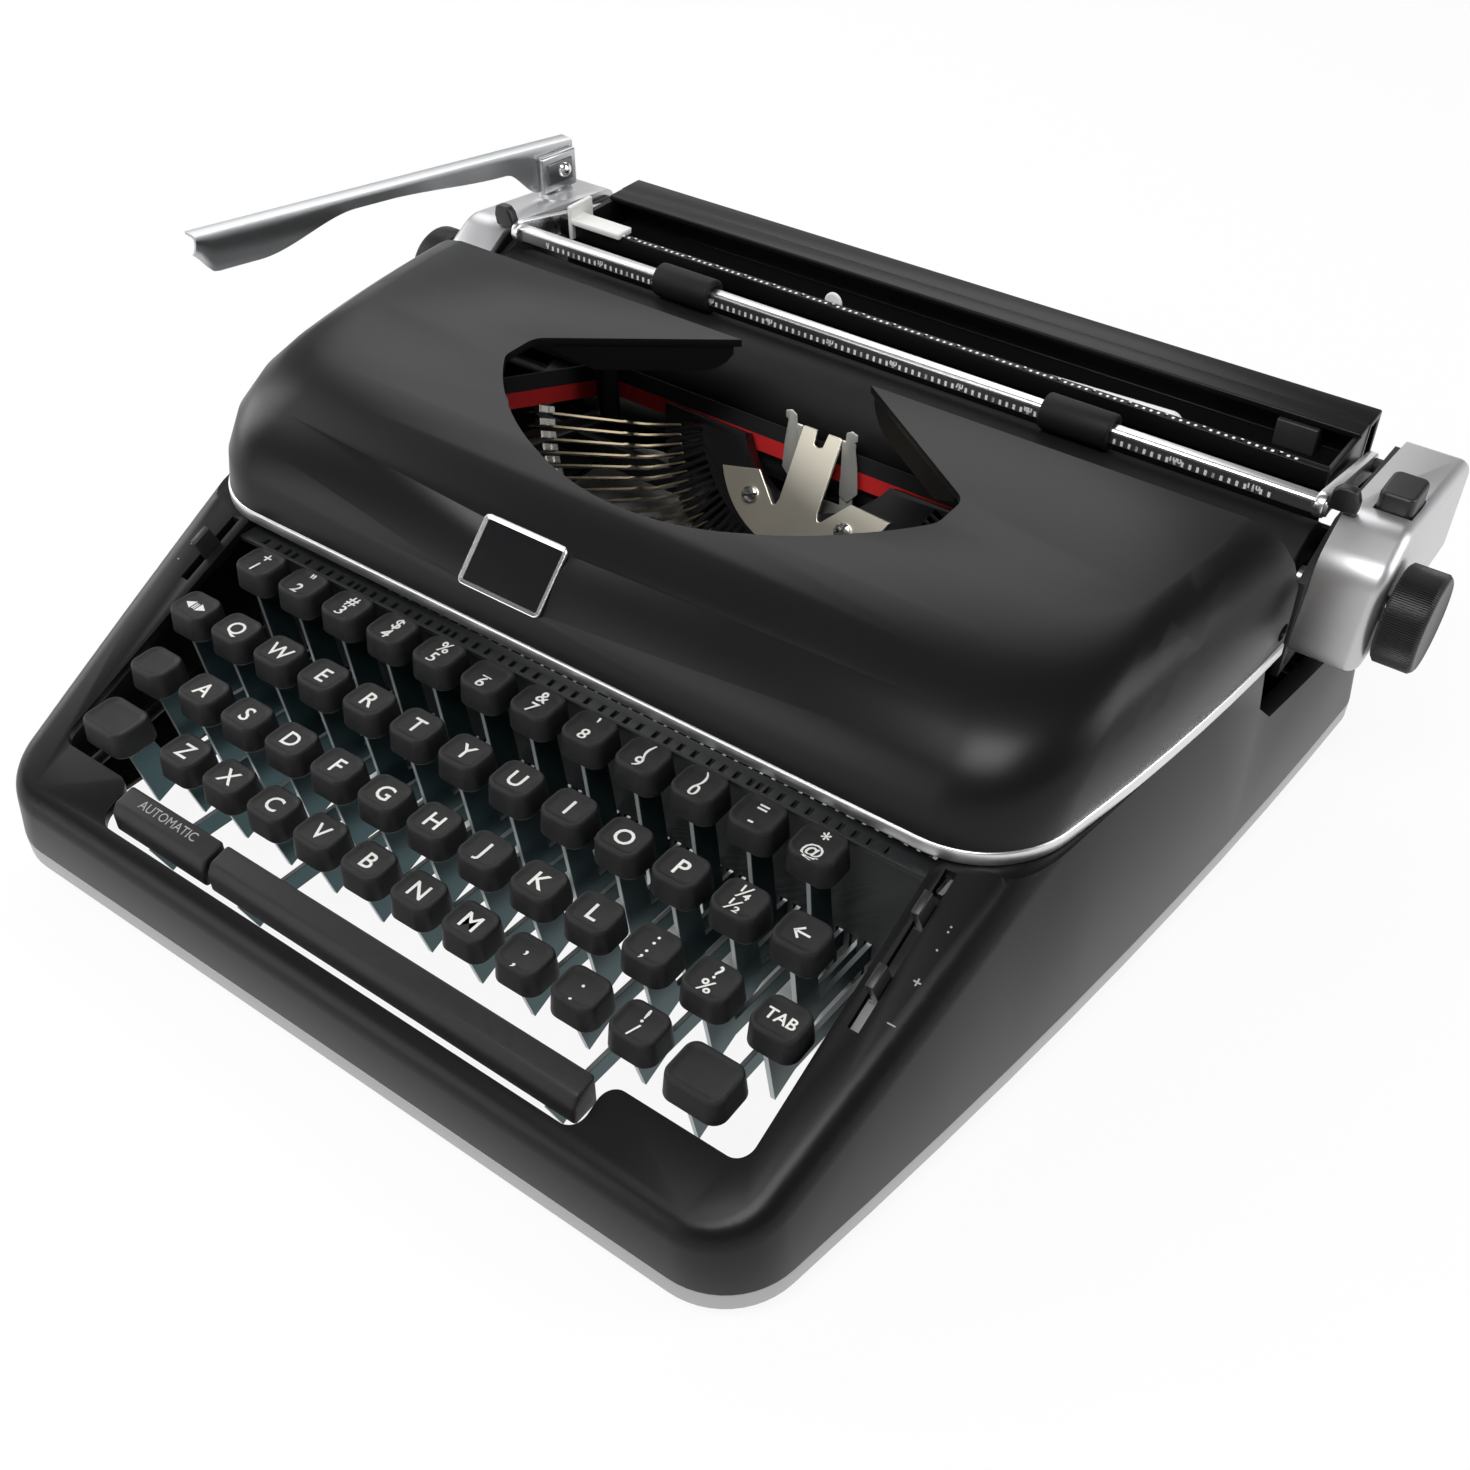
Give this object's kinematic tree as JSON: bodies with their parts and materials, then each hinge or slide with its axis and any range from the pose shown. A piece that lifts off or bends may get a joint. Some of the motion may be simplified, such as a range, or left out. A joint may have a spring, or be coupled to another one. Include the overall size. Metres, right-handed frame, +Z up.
{
  "type": "manual portable typewriter",
  "caption": "Manual portable typewriter with a four-row keyboard, hinged domed cover, typebar basket, ribbon spools and a sliding carriage with platen and return lever.",
  "frame": {"origin": "middle of the machine's footprint on the table, under the middle of its overall box", "axes": "+X to the right of a typist, +Y from the typist to the rear, +Z up"},
  "size_m": [0.398, 0.339, 0.1334],
  "materials": {
    "black_paint": "satin",
    "silver_trim": "satin",
    "badge_metal": "satin",
    "key_plastic": "fine matt",
    "lever_steel": "dark plated",
    "chassis_steel": "plated",
    "fastener_steel": "plated",
    "segment_steel": "blackened",
    "guide_nickel": "brushed nickel",
    "bar_steel": "ground",
    "bright_chrome": "polished",
    "black_rubber": "matt",
    "black_plastic": "matt",
    "carriage_paint": "satin",
    "white_plastic": "matt",
    "spool_plastic": "matt",
    "ribbon_cloth": "woven"
  },
  "bodies": {
    "chassis": {"rubber_feet": "black_rubber", "bottom_plate": "black_paint", "base_trim": "silver_trim", "body_shell": "black_paint", "cover_hinges": "chassis_steel", "side_plates": "chassis_steel", "chassis_screws": "fastener_steel", "key_fulcrum_rod": "fastener_steel", "key_comb": "chassis_steel", "front_crossmember": "chassis_steel", "carriage_rail": "chassis_steel", "spool_cups": "chassis_steel", "ribbon": "ribbon_cloth"},
    "top_cover": {"top_cover": "black_paint", "cover_trim": "silver_trim", "badge_plate": "badge_metal"},
    "number_row": {"number_row_keytops": "key_plastic", "number_row_levers": "lever_steel"},
    "upper_row": {"upper_row_keytops": "key_plastic", "upper_row_levers": "lever_steel"},
    "home_row": {"home_row_keytops": "key_plastic", "home_row_levers": "lever_steel"},
    "lower_row": {"lower_row_keytops": "key_plastic", "lower_row_levers": "lever_steel"},
    "typing_key": {"typing_key": "key_plastic"},
    "margin_release": {"margin_release_key": "key_plastic"},
    "backspace": {"backspace_key": "key_plastic"},
    "shift_lock": {"shift_lock_key": "key_plastic"},
    "tabulator": {"tabulator_key": "key_plastic"},
    "shift": {"shift_keytops": "key_plastic", "shift_levers": "lever_steel"},
    "space_bar": {"space_bar": "key_plastic", "space_bar_arms": "lever_steel"},
    "automatic": {"automatic_key": "key_plastic"},
    "type_basket": {"type_segment": "segment_steel", "type_guide": "guide_nickel", "typebars": "bar_steel"},
    "strike_typebar": {"strike_typebar": "bar_steel"},
    "ribbon_vibrator": {"ribbon_vibrator": "guide_nickel"},
    "left_spool": {"left_spool": "spool_plastic"},
    "right_spool": {"right_spool": "spool_plastic"},
    "carriage": {"carriage_frame": "carriage_paint", "paper_table": "carriage_paint", "paper_rest_bar": "carriage_paint", "left_end_cover": "silver_trim", "right_end_cover": "silver_trim"},
    "platen": {"platen": "black_rubber", "platen_shaft": "fastener_steel", "platen_knobs": "black_plastic"},
    "front_feed_roller": {"front_feed_roller": "black_rubber"},
    "rear_feed_roller": {"rear_feed_roller": "black_rubber"},
    "paper_bail": {"paper_bail": "bright_chrome"},
    "bail_rollers": {"bail_rollers": "black_rubber"},
    "return_lever": {"return_lever": "bright_chrome"},
    "paper_guide": {"paper_guide": "white_plastic"},
    "paper_support": {"paper_support": "white_plastic"},
    "carriage_release": {"carriage_release": "black_plastic"},
    "ribbon_selector": {"ribbon_selector": "black_plastic"},
    "touch_control": {"touch_control": "black_plastic"},
    "tab_lever": {"tab_lever": "black_plastic"}
  },
  "joints": [
    {"name": "number_row_press", "type": "hinge", "parent": "chassis", "child": "number_row", "pos_m": [0, 0.0665, 0.014], "axis": [1, 0, 0], "range_deg": [0, 4], "stiffness_Nm_per_rad": 2.5, "springref_deg": -11.46},
    {"name": "upper_row_press", "type": "hinge", "parent": "chassis", "child": "upper_row", "pos_m": [0, 0.0665, 0.014], "axis": [1, 0, 0], "range_deg": [0, 3.5], "stiffness_Nm_per_rad": 2.5, "springref_deg": -11.46},
    {"name": "home_row_press", "type": "hinge", "parent": "chassis", "child": "home_row", "pos_m": [0, 0.0665, 0.014], "axis": [1, 0, 0], "range_deg": [0, 3.1], "stiffness_Nm_per_rad": 2.5, "springref_deg": -11.46},
    {"name": "lower_row_press", "type": "hinge", "parent": "chassis", "child": "lower_row", "pos_m": [0, 0.0665, 0.014], "axis": [1, 0, 0], "range_deg": [0, 2.86], "stiffness_Nm_per_rad": 2.5, "springref_deg": -11.46},
    {"name": "margin_release_press", "type": "hinge", "parent": "chassis", "child": "margin_release", "pos_m": [0, 0.0665, 0.014], "axis": [1, 0, 0], "range_deg": [0, 3.5], "stiffness_Nm_per_rad": 0.25, "springref_deg": -11.46},
    {"name": "backspace_press", "type": "hinge", "parent": "chassis", "child": "backspace", "pos_m": [0, 0.0665, 0.014], "axis": [1, 0, 0], "range_deg": [0, 3.5], "stiffness_Nm_per_rad": 0.25, "springref_deg": -11.46},
    {"name": "shift_lock_press", "type": "hinge", "parent": "chassis", "child": "shift_lock", "pos_m": [0, 0.0665, 0.014], "axis": [1, 0, 0], "range_deg": [0, 3.1], "stiffness_Nm_per_rad": 0.25, "springref_deg": -11.46},
    {"name": "tabulator_press", "type": "hinge", "parent": "chassis", "child": "tabulator", "pos_m": [0, 0.0665, 0.014], "axis": [1, 0, 0], "range_deg": [0, 3.1], "stiffness_Nm_per_rad": 0.25, "springref_deg": -11.46},
    {"name": "space_bar_press", "type": "hinge", "parent": "chassis", "child": "space_bar", "pos_m": [0, 0.0665, 0.014], "axis": [1, 0, 0], "range_deg": [0, 1.8], "stiffness_Nm_per_rad": 0.7, "springref_deg": -11.46},
    {"name": "automatic_press", "type": "hinge", "parent": "chassis", "child": "automatic", "pos_m": [0, 0.0665, 0.014], "axis": [1, 0, 0], "range_deg": [0, 1.8], "stiffness_Nm_per_rad": 0.35, "springref_deg": -11.46},
    {"name": "typebar_strike", "type": "hinge", "parent": "type_basket", "child": "strike_typebar", "pos_m": [0.00171, 0.04913, 0.03646], "axis": [-0.9996, -0.0146, -0.0234], "range_deg": [0, 102]},
    {"name": "typing_key_press", "type": "hinge", "parent": "chassis", "child": "typing_key", "pos_m": [0, 0.0665, 0.014], "axis": [1, 0, 0], "range_deg": [0, 3.1], "stiffness_Nm_per_rad": 0.25, "springref_deg": -11.46},
    {"name": "ribbon_lift", "type": "slide", "parent": "chassis", "child": "ribbon_vibrator", "axis": [0, 0, 1], "range_m": [0, 0.012]},
    {"name": "basket_shift", "type": "slide", "parent": "chassis", "child": "type_basket", "axis": [0, -0.5299, -0.848], "range_m": [0, 0.007], "stiffness_N_per_m": 900, "springref_m": -0.008},
    {"name": "shift_press", "type": "hinge", "parent": "chassis", "child": "shift", "pos_m": [0, 0.0665, 0.014], "axis": [1, 0, 0], "range_deg": [0, 2.86], "stiffness_Nm_per_rad": 0.6, "springref_deg": -11.46},
    {"name": "cover_open", "type": "hinge", "parent": "chassis", "child": "top_cover", "pos_m": [0, 0.06, 0.086], "axis": [-1, 0, 0], "range_deg": [0, 45]},
    {"name": "carriage_travel", "type": "slide", "parent": "chassis", "child": "carriage", "axis": [-1, 0, 0], "range_m": [-0.11, 0.11]},
    {"name": "platen_turn", "type": "hinge", "parent": "carriage", "child": "platen", "pos_m": [0, 0.098, 0.079], "axis": [1, 0, 0], "continuous": true},
    {"name": "front_feed_turn", "type": "hinge", "parent": "carriage", "child": "front_feed_roller", "pos_m": [0, 0.08605, 0.0583], "axis": [1, 0, 0], "continuous": true},
    {"name": "rear_feed_turn", "type": "hinge", "parent": "carriage", "child": "rear_feed_roller", "pos_m": [0, 0.10995, 0.0583], "axis": [1, 0, 0], "continuous": true},
    {"name": "bail_lift", "type": "hinge", "parent": "carriage", "child": "paper_bail", "pos_m": [0, 0.1505, 0.092], "axis": [-1, 0, 0], "range_deg": [0, 40]},
    {"name": "bail_roller_turn", "type": "hinge", "parent": "paper_bail", "child": "bail_rollers", "pos_m": [0, 0.1035, 0.1022], "axis": [1, 0, 0], "continuous": true},
    {"name": "return_lever_swing", "type": "hinge", "parent": "carriage", "child": "return_lever", "pos_m": [-0.174, 0.1425, 0.109], "axis": [0, 0, -1], "range_deg": [-32, 0], "stiffness_Nm_per_rad": 0.05, "springref_deg": 17.19},
    {"name": "paper_guide_slide", "type": "slide", "parent": "carriage", "child": "paper_guide", "axis": [1, 0, 0], "range_m": [0, 0.06]},
    {"name": "paper_support_swing", "type": "hinge", "parent": "carriage", "child": "paper_support", "pos_m": [0.097, 0.133, 0.094], "axis": [0, 1, 0], "range_deg": [0, 75]},
    {"name": "carriage_release_press", "type": "slide", "parent": "carriage", "child": "carriage_release", "axis": [0, 0, -1], "range_m": [0, 0.003], "stiffness_N_per_m": 400, "springref_m": -0.002},
    {"name": "ribbon_selector_slide", "type": "slide", "parent": "chassis", "child": "ribbon_selector", "axis": [0, 0.9246, 0.381], "range_m": [-0.005, 0.005]},
    {"name": "touch_control_slide", "type": "slide", "parent": "chassis", "child": "touch_control", "axis": [0, 0.9246, 0.381], "range_m": [-0.005, 0.005]},
    {"name": "tab_lever_slide", "type": "slide", "parent": "chassis", "child": "tab_lever", "axis": [0, 0.9246, 0.381], "range_m": [-0.005, 0.005]},
    {"name": "right_spool_turn", "type": "hinge", "parent": "chassis", "child": "right_spool", "pos_m": [0.119, 0.0165, 0.07], "axis": [0, 0, 1], "continuous": true},
    {"name": "left_spool_turn", "type": "hinge", "parent": "chassis", "child": "left_spool", "pos_m": [-0.119, 0.0165, 0.07], "axis": [0, 0, 1], "continuous": true}
  ],
  "couplings": [
    {"joint": "typing_key_press", "follows": "typebar_strike", "ratio": 0.030389},
    {"joint": "ribbon_lift", "follows": "typebar_strike", "m_per_rad": 0.00674},
    {"joint": "shift_press", "follows": "basket_shift", "rad_per_m": 7.1302},
    {"joint": "front_feed_turn", "follows": "platen_turn", "ratio": -2.9167},
    {"joint": "rear_feed_turn", "follows": "platen_turn", "ratio": -2.9167},
    {"joint": "left_spool_turn", "follows": "right_spool_turn", "ratio": 1}
  ]
}
